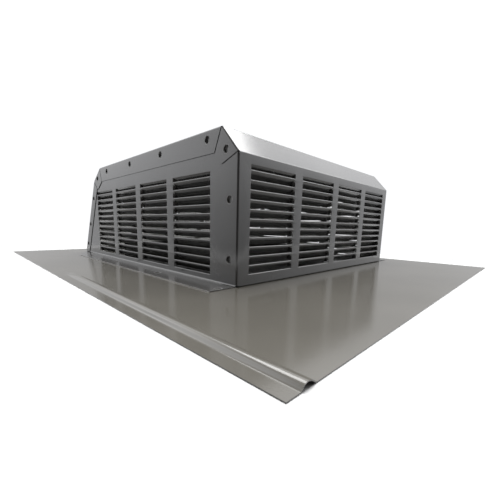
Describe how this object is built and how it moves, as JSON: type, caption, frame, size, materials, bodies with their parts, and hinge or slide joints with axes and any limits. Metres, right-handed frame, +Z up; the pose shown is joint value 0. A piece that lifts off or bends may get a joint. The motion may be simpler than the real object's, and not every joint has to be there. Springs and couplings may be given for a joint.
{
  "type": "static roof vent",
  "caption": "Low louvred sheet-metal roof vent: hood with chamfered top, leaning back wall and riveted side panels, on a flat flashing sheet with one raised edge bead.",
  "frame": {"origin": "centre of the flashing's rectangle, on its underside", "axes": "+Z up, +Y from the hood's upright front wall towards its leaning back wall, +X to the right as one looks at the front wall"},
  "size_m": [0.595, 0.73, 0.1688],
  "materials": {
    "flashing": "semi-gloss",
    "hood": "semi-gloss",
    "side_panel": "semi-gloss",
    "rivet": "semi-gloss"
  },
  "bodies": {
    "root": {"base_flashing": "flashing", "hood": "hood", "side_panel_left": "side_panel", "side_panel_right": "side_panel", "left_flange_rivet_01": "rivet", "left_flange_rivet_02": "rivet", "left_flange_rivet_03": "rivet", "left_flange_rivet_04": "rivet", "left_flange_rivet_05": "rivet", "left_flange_rivet_06": "rivet", "left_flange_rivet_07": "rivet", "left_flange_rivet_08": "rivet", "left_flange_rivet_09": "rivet", "left_flange_rivet_10": "rivet", "left_flange_rivet_11": "rivet", "left_foot_rivet_1": "rivet", "left_foot_rivet_2": "rivet", "left_foot_rivet_3": "rivet", "left_foot_rivet_4": "rivet", "right_flange_rivet_01": "rivet", "right_flange_rivet_02": "rivet", "right_flange_rivet_03": "rivet", "right_flange_rivet_04": "rivet", "right_flange_rivet_05": "rivet", "right_flange_rivet_06": "rivet", "right_flange_rivet_07": "rivet", "right_flange_rivet_08": "rivet", "right_flange_rivet_09": "rivet", "right_flange_rivet_10": "rivet", "right_flange_rivet_11": "rivet", "right_foot_rivet_1": "rivet", "right_foot_rivet_2": "rivet", "right_foot_rivet_3": "rivet", "right_foot_rivet_4": "rivet"}
  },
  "joints": []
}
